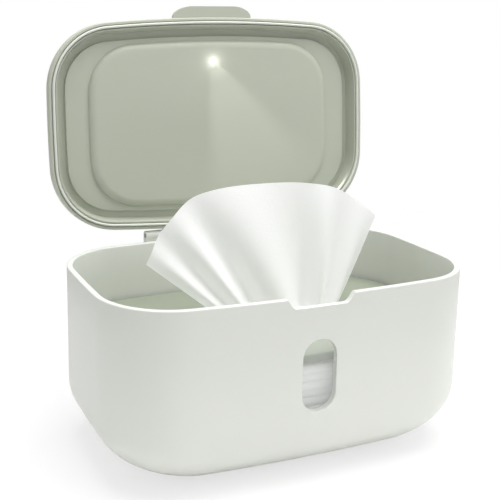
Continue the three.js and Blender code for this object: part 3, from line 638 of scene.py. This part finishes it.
def tub_bottom_rings(offset, low, outward):
    rings = []
    for i in range(ROUND_STEPS + 1):
        drawn_in, drop = round_share(i if outward else ROUND_STEPS - i, BASE_ROUND_POWER)
        z = BASE_ROUND_HEIGHT - (BASE_ROUND_HEIGHT - low) * drop
        rings.append(body_ring(BASE_ROUND_END * drawn_in, BASE_ROUND_SIDE * drawn_in, offset, z))
    return rings


def rim_rings(wall):
    angles = np.linspace(0, math.pi / 2, 5)
    outer = [(RIM_ROUND * (1 - math.cos(a)), RIM_ROUND * (1 - math.sin(a))) for a in angles]
    rings = [body_ring(0, 0, run, TUB_HEIGHT - drop) for run, drop in outer]
    return rings + [body_ring(0, 0, wall - run, TUB_HEIGHT - drop) for run, drop in outer[::-1]]


def wall_rings(offset, low, high, count):
    return [body_ring(0, 0, offset, z) for z in np.linspace(low, high, count + 2)[1:-1]]


def notch_outline():
    top, floor = TUB_HEIGHT + CUT_PAST, TUB_HEIGHT - NOTCH_DEPTH
    slope = (NOTCH_TOP_WIDTH - NOTCH_FLOOR_WIDTH) / 2 / NOTCH_DEPTH
    half_top = NOTCH_TOP_WIDTH / 2 + CUT_PAST * slope
    half_floor = NOTCH_FLOOR_WIDTH / 2
    points = [(half_top, top), (-half_top, top)]
    for side in (-1, 1):
        start = np.array([side * (half_floor + slope * NOTCH_CORNER), floor + NOTCH_CORNER])
        corner = np.array([side * half_floor, floor])
        end = np.array([side * (half_floor - NOTCH_CORNER), floor])
        curve = [
            (1 - t) ** 2 * start + 2 * t * (1 - t) * corner + t * t * end
            for t in np.linspace(0, 1, 7)
        ]
        points += curve if side < 0 else curve[::-1]
    return np.array(points)


def pill(grow):
    half_x, half_z = WINDOW_WIDTH / 2 + grow, WINDOW_HEIGHT / 2 + grow
    return rounded_rectangle(half_x, half_z, half_x, 20) + (0, WINDOW_CENTRE)


def make_tub():
    shape = loft(
        tub_bottom_rings(0, PAD_PROUD, True)
        + wall_rings(0, BASE_ROUND_HEIGHT, TUB_HEIGHT - RIM_ROUND, 3)
        + rim_rings(TUB_WALL)
        + wall_rings(TUB_WALL, TUB_HEIGHT - RIM_ROUND, BASE_ROUND_HEIGHT, 3)
        + tub_bottom_rings(TUB_WALL, PAD_PROUD + TUB_WALL, False)
    )
    tub = mesh_object("tub", shape)
    near, far = -HALF_DEPTH - CUT_PAST, -HALF_DEPTH + TUB_WALL + CUT_PAST
    pad_room = rounded_rectangle(
        PAD_HALF_LENGTH + FIT_GAP, PAD_HALF_DEPTH + FIT_GAP, PAD_CORNER + FIT_GAP
    )
    cutters = [
        mesh_object("notch_tool", across_y(notch_outline(), near, far)),
        mesh_object("window_tool", across_y(pill(0), near, far)),
        mesh_object("pad_tool", upright(pad_room, -CUT_PAST, PAD_THICKNESS + FIT_GAP)),
    ]
    combine(tub, cutters, "DIFFERENCE")
    round_edges(tub, EDGE_ROUND)
    return dress(tub, "tub", SHELL, ["tub_shell"])


def make_knuckle(side):
    """A tub knuckle with its post, on the right (1) or left (-1)."""
    near, far = side * (BARREL_HALF_LENGTH - KNUCKLE_LENGTH), side * BARREL_HALF_LENGTH
    low, high = min(near, far), max(near, far)
    ring = circle(BARREL_RADIUS) + (HINGE_Y, HINGE_Z)
    barrel = mesh_object(f"tub_knuckle_{'right' if side > 0 else 'left'}", along_x(ring, low, high))
    inner = HALF_DEPTH - TUB_WALL + POST_SET_IN
    post = np.array([
        (inner, TUB_HEIGHT - BARREL_RADIUS),
        (inner, TUB_HEIGHT - 4 * BARREL_RADIUS),
        (HALF_DEPTH - TUB_WALL / 2, TUB_HEIGHT - 4 * BARREL_RADIUS),
        (HINGE_Y + BARREL_RADIUS, TUB_HEIGHT - BARREL_RADIUS / 2),
        (HINGE_Y + BARREL_RADIUS, HINGE_Z),
        (HINGE_Y - BARREL_RADIUS + FIT_GAP, HINGE_Z),
        (HINGE_Y - BARREL_RADIUS + FIT_GAP, TUB_HEIGHT - BARREL_RADIUS),
    ])
    combine(barrel, [mesh_object("post", along_x(post, low, high))], "UNION")
    bore = circle(PIN_RADIUS + FIT_GAP) + (HINGE_Y, HINGE_Z)
    combine(barrel, [mesh_object("bore", along_x(bore, low - CUT_PAST, high + CUT_PAST))], "DIFFERENCE")
    round_edges(barrel, KNUCKLE_EDGE_ROUND)
    return dress(barrel, "tub", SHELL)


def make_pane():
    front = -HALF_DEPTH + PANE_SET_BACK
    inside = -HALF_DEPTH + TUB_WALL + FIT_GAP
    pane = mesh_object("pane", across_y(pill(-FIT_GAP), front, inside + PANE_FLANGE_THICKNESS / 2))
    flange = mesh_object("flange", across_y(pill(PANE_FLANGE), inside, inside + PANE_FLANGE_THICKNESS))
    combine(pane, [flange], "UNION")
    round_edges(pane, PANE_EDGE_ROUND)
    return dress(pane, "tub", PANE, ["window_pane"])


# Wipes and plate

def stack_ring(draw, z, shift, wave):
    outline = plan_outline(
        STACK_HALF_LENGTH - draw,
        STACK_HALF_DEPTH - draw,
        STACK_BULGE_RADIUS,
        STACK_BULGE_RADIUS,
        STACK_CORNER,
        STACK_STEPS,
    )
    x, y = outline[:, 0], outline[:, 1]
    waves = sum(height * np.sin(x / length + drift * wave) for height, length, drift in STACK_WAVES)
    grown = min((z - STACK_FLOOR) / STACK_LEVEL_HEIGHT, 1)
    return np.column_stack([x, y + shift, z + (waves + STACK_TILT * x) * grown])


def make_stack():
    """The folded sheets, each a rounded fold a little off its neighbours."""
    rng = np.random.default_rng(4)
    top = PLATE_BOTTOM - STACK_BELOW_PLATE
    fold = (top - STACK_FLOOR) / SHEET_FOLDS
    rings = []
    for i in range(SHEET_FOLDS):
        shift = rng.uniform(-SHEET_SHIFT, SHEET_SHIFT)
        drawn_in = rng.uniform(0, SHEET_DRAW_IN)
        for share in SHEET_SHARES:
            rounding = SHEET_BULGE * (1 - math.sqrt(1 - (2 * share - 1) ** 2))
            z = STACK_FLOOR + (i + share) * fold
            rings.append(stack_ring(drawn_in + rounding, z, shift, i * SHEET_DRIFT))
    stack = mesh_object("stack", loft(rings), STACK_SMOOTH_ANGLE)
    room = loft(
        tub_bottom_rings(TUB_WALL + STACK_PLAY, STACK_FLOOR, True)
        + [body_ring(0, 0, TUB_WALL + STACK_PLAY, TUB_HEIGHT)]
    )
    combine(stack, [mesh_object("room", room)], "INTERSECT")
    shade(stack.data, STACK_SMOOTH_ANGLE)
    return dress(stack, "tub", STACKED_WIPE, ["wipes_stack"])


def make_plate():
    edge = TUB_WALL + PLATE_PLAY
    rings = [body_ring(0, 0, edge, PLATE_BOTTOM)]
    for a in np.linspace(0, math.pi / 2, 6):
        inset = edge + PLATE_ROUND * (1 - math.cos(a))
        rings.append(body_ring(0, 0, inset, PLATE_TOP - PLATE_ROUND * (1 - math.sin(a))))
    plate = mesh_object("plate", loft(rings))
    slot = rounded_rectangle(SLOT_LENGTH / 2, SLOT_WIDTH / 2, SLOT_WIDTH / 2)
    cutters = [mesh_object("slot_tool", upright(slot, PLATE_BOTTOM - CUT_PAST, PLATE_TOP + CUT_PAST))]
    combine(plate, cutters, "DIFFERENCE")
    round_edges(plate, PLATE_EDGE_ROUND)
    return dress(plate, "tub", PLATE, ["weight_plate"])


def wipe_edge(u):
    """The upper edge at u: an even Catmull-Rom curve through its points."""
    last = len(WIPE_EDGE) - 1
    index = min(int(u * last), last - 1)
    t = u * last - index
    p0, p1, p2, p3 = [
        np.array(WIPE_EDGE[min(max(index + k, 0), last)]) for k in (-1, 0, 1, 2)
    ]
    v0, v1 = (p2 - p0) / 2, (p3 - p1) / 2
    return (2 * p1 - 2 * p2 + v0 + v1) * t ** 3 + (3 * p2 - 3 * p1 - 2 * v0 - v1) * t ** 2 + v0 * t + p1


def wipe_point(u, v):
    """u runs along the foot in the slot, v from the foot to the upper edge."""
    foot_x = WIPE_FOOT_LEFT + (WIPE_FOOT_RIGHT - WIPE_FOOT_LEFT) * u
    foot_z = PLATE_BOTTOM + FIT_GAP
    edge_x, edge_z = wipe_edge(u)
    phase = u + WIPE_MIDDLE_WIDENING * math.sin(2 * math.pi * u)
    calm = 1 - WIPE_SIDE_CALM * math.cos(math.pi * u) ** 2
    depth = calm * (
        WIPE_FOOT_DEPTH * (1 - v) + WIPE_PLEAT_DEPTH * math.sin(math.pi * v) + WIPE_EDGE_DEPTH * v
    )
    y = WIPE_LEAN * v * v + depth / 2 * math.cos(2 * math.pi * WIPE_PLEATS * phase)
    return (
        foot_x + (edge_x - foot_x) * v,
        y,
        foot_z + (edge_z - foot_z) * v,
    )


def wipe_tail(u, run):
    """The rest of the sheet: down out of the slot, then flat between stack and plate, folded back once."""
    foot = wipe_point(u, 0)
    width = min(run / TAIL_SPREAD_RUN, 1)
    x = foot[0] + ((u - 0.5) * TAIL_WIDTH - foot[0]) * width
    if run < TAIL_FOLD_AT:
        reach = -run
        level = TAIL_UPPER_LEVEL - TAIL_UPPER_DROP * run / TAIL_FOLD_AT
    else:
        reach = run - 2 * TAIL_FOLD_AT
        level = TAIL_LOWER_LEVEL
    return (x, foot[1] * (1 - width) + reach, level)


def make_pulled_wipe():
    us = np.linspace(0, 1, WIPE_COLUMNS)
    tail = [[wipe_tail(u, run) for u in us] for run in np.arange(TAIL_LENGTH, 0, -TAIL_STEP)]
    raised = [[wipe_point(u, v) for u in us] for v in np.linspace(0, 1, WIPE_ROWS)]
    rows = [np.array(row) for row in tail + raised]
    wipe = mesh_object("wipe", grid(rows), WIPE_SMOOTH_ANGLE)
    dress(wipe, "tub", WIPE, ["pulled_wipe"])
    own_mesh(wipe)
    return wipe


# Lid

def make_lid_shell():
    roof = LID_HEIGHT - LID_WALL
    rings = []
    for i in range(ROUND_STEPS + 1):
        drawn_in, drop = round_share(i, DOME_POWER)
        height = SKIRT_HEIGHT + (roof - SKIRT_HEIGHT) * drop
        rings.append(lid_ring(DOME_ROUND_END * drawn_in, DOME_ROUND_SIDE * drawn_in, SKIRT_WALL, height))
    rings.append(lid_ring(0, 0, SKIRT_WALL, SKIRT_FOOT_ROUND))
    rings.append(lid_ring(0, 0, SKIRT_WALL - SKIRT_FOOT_ROUND, 0))
    for a in np.linspace(0, math.pi / 2, 5):
        rings.append(lid_ring(0, 0, RIM_ROUND * (1 - math.sin(a)), RIM_ROUND * (1 - math.cos(a))))
    for i in range(ROUND_STEPS, -1, -1):
        drawn_in, drop = round_share(i, DOME_POWER)
        height = SKIRT_HEIGHT + (LID_HEIGHT - SKIRT_HEIGHT) * drop
        rings.append(lid_ring(DOME_ROUND_END * drawn_in, DOME_ROUND_SIDE * drawn_in, 0, height))
    shell = mesh_object("lid_dome", loft(rings))
    half = BARREL_HALF_LENGTH - KNUCKLE_LENGTH - FIT_GAP
    ring = circle(BARREL_RADIUS) + (HINGE_Y, HINGE_Z)
    barrel = mesh_object("barrel", along_x(ring, -half, half))
    depth = HINGE_Y - (HALF_DEPTH - LID_INSET - SKIRT_WALL)
    web_outline = [
        (HINGE_Y - depth, LID_EDGE + RIM_ROUND),
        (HINGE_Y, LID_EDGE + RIM_ROUND),
        (HINGE_Y, LID_EDGE + RIM_ROUND + BARREL_RADIUS),
        (HINGE_Y - depth, LID_EDGE + RIM_ROUND + BARREL_RADIUS),
    ]
    web = mesh_object("web", along_x(web_outline, -half, half))
    combine(shell, [barrel, web, make_tab()], "UNION")
    door_hole = upright(
        circle(DOOR_RADIUS + FIT_GAP, 16),
        LID_EDGE + DOOR_CUT_START,
        LID_EDGE + LID_HEIGHT + CUT_PAST,
        y=BATTERY_Y,
    )
    combine(shell, [mesh_object("door_tool", door_hole)], "DIFFERENCE")
    open_lid(round_edges(shell, LID_EDGE_ROUND))
    return dress(shell, "lid", LID, ["lid_shell"])


def make_tab():
    front = LID_INSET - HALF_DEPTH
    root = front + SKIRT_WALL / 2
    half = TAB_WIDTH / 2
    flat = half - TAB_SHOULDER
    shoulder = [
        (flat + TAB_SHOULDER * math.cos(a), front - TAB_REACH * math.sin(a))
        for a in np.linspace(0, math.pi / 2, 24)
    ]
    outline = [(-half, root), (half, root)] + shoulder + [(-x, y) for x, y in shoulder[::-1]]
    return mesh_object("tab", upright(outline, LID_EDGE + TAB_LIFT, LID_EDGE + TAB_LIFT + TAB_THICKNESS))


def panel_ring(run, height):
    inner = LID_INSET + SLOPE_START + SLOPE_RUN
    corner = PANEL_CORNER_RADIUS + CORNER_SHARE * LEDGE_RUN_END + inner
    return body_ring(LEDGE_RUN_END, LEDGE_RUN_SIDE, inner + run, LID_EDGE + height, corner)


def make_liner():
    rings = []
    for angle in np.linspace(0, math.pi / 2, 12):
        height = LEDGE_DEPTH - PANEL_RISE * math.cos(angle)
        rings.append(panel_ring(PANEL_EDGE * (1 - math.sin(angle)), height))
    foot = SLOPE_START + SLOPE_RUN
    ledge_start = foot + GROOVE_WIDTH
    groove_floor = LEDGE_DEPTH + GROOVE_DEPTH
    flange = GASKET_TOP + FIT_GAP
    ledge_and_groove = [
        (ledge_start + LEDGE_ROUND, LEDGE_DEPTH),
        (ledge_start + LEDGE_ROUND / 4, LEDGE_DEPTH + LEDGE_ROUND / 4),
        (ledge_start, LEDGE_DEPTH + LEDGE_ROUND),
        (ledge_start - GROOVE_DRAFT, groove_floor),
    ]
    slope = [
        (foot - (SLOPE_RUN - LIP_WIDTH) * t ** SLOPE_CURVE, groove_floor * (1 - t))
        for t in np.linspace(0, 1, 9)
    ]
    lip = [
        (SLOPE_START + LIP_ROUND, LIP_ROUND / 2),
        (SLOPE_START, LIP_WIDTH / 2),
        (SLOPE_START, flange),
        (FLANGE_START, flange),
    ]
    hidden_face = [
        (FLANGE_START, flange + LINER_WALL),
        (SLOPE_START + LINER_WALL, flange + LINER_WALL),
        (foot, groove_floor + GROOVE_WALL),
        (ledge_start + LINER_WALL, groove_floor + GROOVE_WALL),
        (ledge_start + LINER_WALL, LEDGE_DEPTH + LINER_WALL),
    ]
    for run, height in ledge_and_groove + slope + lip + hidden_face:
        rings.append(lid_ring(0, 0, run, height))
    rings.append(panel_ring(LINER_WALL, LEDGE_DEPTH + LINER_WALL))
    rings.append(panel_ring(PANEL_EDGE + LINER_WALL, PANEL_FACE + LINER_WALL))
    liner = mesh_object("liner", loft(rings))
    lens_hole = upright(
        circle(LENS_RADIUS + FIT_GAP), LID_EDGE - CUT_PAST, LID_EDGE + LID_HEIGHT, y=LENS_Y
    )
    combine(liner, [mesh_object("lens_tool", lens_hole)], "DIFFERENCE")
    open_lid(liner)
    return dress(liner, "lid", LID, ["lid_liner"])


def make_gasket():
    half = GASKET_WIDTH / 2
    rings = [
        lid_ring(0, 0, FLANGE_START + half - half * math.cos(a), half - GASKET_PROUD - half * math.sin(a))
        for a in np.linspace(0, math.pi, 9)
    ]
    rings.append(lid_ring(0, 0, FLANGE_START + GASKET_WIDTH, GASKET_TOP))
    rings.append(lid_ring(0, 0, FLANGE_START, GASKET_TOP))
    gasket = mesh_object("gasket_bead", loft(rings, closed_loop=True))
    open_lid(gasket)
    return dress(gasket, "lid", GASKET, ["lid_gasket"])


CAD_LOOKS = {
    "base_pad": PAD,
    "hinge_pin": STEEL,
    "plate_weight_left": STEEL,
    "plate_weight_right": STEEL,
    "lamp_lens": LENS,
    "lamp_led": LED,
    "lamp_board": BOARD,
    "tilt_switch": STEEL,
    "battery_holder": BLACK,
    "battery_contact": STEEL,
    "coin_cell": STEEL,
    "battery_door": LID,
    "board_screw_left": STEEL,
    "board_screw_right": STEEL,
}


def dress_kept_nodes():
    for node, material in CAD_LOOKS.items():
        data = frame["nodes"][node].data
        data.materials.clear()
        data.materials.append(material)


door_low, door_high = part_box("battery_door")
DOOR_PLACE = (Vector(door_low) + Vector(door_high)) / 2
TO_CLOSED = about_hinge(LID_OPEN_ANGLE)
BATTERY_Y = (TO_CLOSED @ DOOR_PLACE).y / MM

make_tub()
make_knuckle(-1)
make_knuckle(1)
make_pane()
make_stack()
make_plate()
make_pulled_wipe()
make_lid_shell()
make_liner()
make_gasket()
dress_kept_nodes()


# Floor, light and camera

FLOOR_COLOUR = (0.94, 0.94, 0.94)
FLOOR_HALF = 1.2
FLOOR_LIFT = 0.68  # share of plain white in what the camera sees, which keeps the shadow pale
FADE_START = 0.24
FADE_END = 0.42
OVERHEAD_PLACE = (0.15, -0.05, 1.2)
OVERHEAD_SIZE = 1.1
OVERHEAD_WATTS = 17.2
RIGHT_FRONT_PLACE = (1.1, -0.8, 0.9)
RIGHT_FRONT_SIZE = 0.7
RIGHT_FRONT_WATTS = 2.8
LIGHTS_AIM = (0, 0, 0.08)
AMBIENT_STRENGTH = 0.52


def make_floor():
    """A pale floor that fades into the white background, so that only the object's shadow shows on it."""
    corners = [(-1, -1), (1, -1), (1, 1), (-1, 1)]
    mesh = bpy.data.meshes.new("floor")
    mesh.from_pydata([(FLOOR_HALF * x, FLOOR_HALF * y, 0) for x, y in corners], [], [(0, 1, 2, 3)])
    floor = bpy.data.objects.new("floor", mesh)
    bpy.context.scene.collection.objects.link(floor)
    material, nodes, links, shader = node_material("floor")
    place = texture_place(nodes, links)
    cloudy = noise(nodes, links, place, scale=3.0)
    links.new(tinted(nodes, links, FLOOR_COLOUR, cloudy, amount=0.003), shader.inputs["Base Color"])
    shader.inputs["Roughness"].default_value = 0.8
    shader.inputs["Specular IOR Level"].default_value = 0.1
    lift = nodes.new("ShaderNodeEmission")
    lift.inputs["Color"].default_value = (1, 1, 1, 1)
    path = nodes.new("ShaderNodeLightPath")
    share = maths(nodes, links, "MULTIPLY", path.outputs["Is Camera Ray"], FLOOR_LIFT)
    lifted = mixed_shaders(nodes, links, share, shader.outputs["BSDF"], lift.outputs["Emission"])
    away = nodes.new("ShaderNodeVectorMath")
    away.operation = "LENGTH"
    links.new(place, away.inputs[0])
    fade = nodes.new("ShaderNodeMapRange")
    fade.interpolation_type = "SMOOTHSTEP"
    fade.inputs["From Min"].default_value = FADE_START
    fade.inputs["From Max"].default_value = FADE_END
    links.new(away.outputs["Value"], fade.inputs["Value"])
    gone = nodes.new("ShaderNodeBsdfTransparent")
    faded = mixed_shaders(nodes, links, fade.outputs["Result"], lifted, gone.outputs["BSDF"])
    links.new(faded, nodes["Material Output"].inputs["Surface"])
    mesh.materials.append(material)


def area_light(name, place, size, watts):
    data = bpy.data.lights.new(name, "AREA")
    data.shape = "DISK"
    data.size = size
    data.energy = watts
    light = bpy.data.objects.new(name, data)
    light.location = place
    aim = Vector(LIGHTS_AIM) - Vector(place)
    light.rotation_euler = aim.to_track_quat("-Z", "Y").to_euler()
    bpy.context.scene.collection.objects.link(light)


def make_lights():
    area_light("overhead", OVERHEAD_PLACE, OVERHEAD_SIZE, OVERHEAD_WATTS)
    area_light("right front", RIGHT_FRONT_PLACE, RIGHT_FRONT_SIZE, RIGHT_FRONT_WATTS)
    make_lamp_beam()


def on_lid(light):
    """Puts a light made in the closed lid's place onto the open lid."""
    bpy.context.scene.collection.objects.link(light)
    bpy.context.view_layer.update()
    light.matrix_world = TO_CLOSED.inverted() @ light.matrix_world
    body = frame["bodies"]["lid"]
    light.parent = body
    light.matrix_parent_inverse = body.matrix_world.inverted()


def make_lamp_beam():
    """The lid's lamp: a halo round the lens and a wedge of light that grazes the panel."""
    place = (0.0, LENS_Y * MM, (LID_EDGE + PANEL_FACE - LAMP_AWAY) * MM)
    glow = bpy.data.lights.new("lamp halo", "POINT")
    glow.energy = HALO_WATTS
    glow.shadow_soft_size = HALO_SIZE
    halo = bpy.data.objects.new("lamp halo", glow)
    halo.location = place
    on_lid(halo)

    data = bpy.data.lights.new("lamp beam", "SPOT")
    data.energy = BEAM_STRENGTH
    data.spot_size = math.radians(BEAM_ANGLE)
    data.spot_blend = BEAM_BLEND
    data.shadow_soft_size = BEAM_SIZE
    lamp = bpy.data.objects.new("lamp beam", data)
    lamp.location = place
    turn = Vector(BEAM_AIM).to_track_quat("-Z", "Y")
    lamp.rotation_euler = turn.to_euler()
    to_panel = turn.inverted() @ Vector((0, 0, 1))
    data.use_nodes = True
    nodes, links = data.node_tree.nodes, data.node_tree.links
    # The lamp's lens spreads its light evenly down the panel: steeper rays are dimmed.
    direction = nodes.new("ShaderNodeTexCoord")
    steep = nodes.new("ShaderNodeVectorMath")
    steep.operation = "DOT_PRODUCT"
    links.new(direction.outputs["Normal"], steep.inputs[0])
    steep.inputs[1].default_value = to_panel
    slope = steep.outputs["Value"]
    onto_panel = maths(nodes, links, "GREATER_THAN", slope, BEAM_LEAST_SLOPE)
    least = maths(nodes, links, "MAXIMUM", slope, BEAM_LEAST_SLOPE)
    evened = maths(nodes, links, "POWER", least, -BEAM_DECAY)
    shone = maths(nodes, links, "MULTIPLY", evened, onto_panel)
    falloff = nodes.new("ShaderNodeLightFalloff")
    links.new(shone, falloff.inputs["Strength"])
    links.new(falloff.outputs["Constant"], nodes["Emission"].inputs["Strength"])
    on_lid(lamp)


def make_world():
    world = bpy.data.worlds.new("studio")
    world.use_nodes = True
    nodes, links = world.node_tree.nodes, world.node_tree.links
    ambient = nodes["Background"]
    ambient.inputs["Color"].default_value = (1, 1, 1, 1)
    ambient.inputs["Strength"].default_value = AMBIENT_STRENGTH
    seen = nodes.new("ShaderNodeBackground")
    seen.inputs["Color"].default_value = (1, 1, 1, 1)
    seen.inputs["Strength"].default_value = 1.0
    path = nodes.new("ShaderNodeLightPath")
    rays = path.outputs
    either = maths(nodes, links, "MAXIMUM", rays["Is Camera Ray"], rays["Is Transmission Ray"])
    sky = mixed_shaders(
        nodes, links, either, ambient.outputs["Background"], seen.outputs["Background"]
    )
    links.new(sky, nodes["World Output"].inputs["Surface"])
    bpy.context.scene.world = world


# The photograph's camera, in degrees and metres: where it looks, from how far, and its lens
CAMERA_AZIMUTH = -22.08
CAMERA_ELEVATION = 11.58
CAMERA_ROLL = 0.40
CAMERA_DISTANCE = 0.44529
CAMERA_TARGET = (-0.04008, 0.0, 0.13043)
SENSOR_WIDTH = 36.0
FOCAL_SHARE = 931.31 / 500
LENS_SHIFT = 0.12


def make_camera():
    azimuth, elevation = math.radians(CAMERA_AZIMUTH), math.radians(CAMERA_ELEVATION)
    back = Vector((
        math.sin(azimuth) * math.cos(elevation),
        -math.cos(azimuth) * math.cos(elevation),
        math.sin(elevation),
    ))
    right = (-back).cross(Vector((0, 0, 1))).normalized()
    up = right.cross(-back)
    roll = math.radians(CAMERA_ROLL)
    turned_right = right * math.cos(roll) + up * math.sin(roll)
    turned_up = up * math.cos(roll) - right * math.sin(roll)
    data = bpy.data.cameras.new("camera")
    data.sensor_width = SENSOR_WIDTH
    data.lens = SENSOR_WIDTH * FOCAL_SHARE
    data.shift_x = LENS_SHIFT
    data.shift_y = -LENS_SHIFT
    data.clip_start = 0.01
    camera = bpy.data.objects.new("camera", data)
    rotation = Matrix((turned_right, turned_up, back)).transposed().to_4x4()
    camera.matrix_world = Matrix.Translation(Vector(CAMERA_TARGET) + back * CAMERA_DISTANCE) @ rotation
    bpy.context.scene.collection.objects.link(camera)
    bpy.context.scene.camera = camera


make_floor()
make_lights()
make_world()
make_camera()
bpy.context.scene.view_settings.view_transform = "Standard"
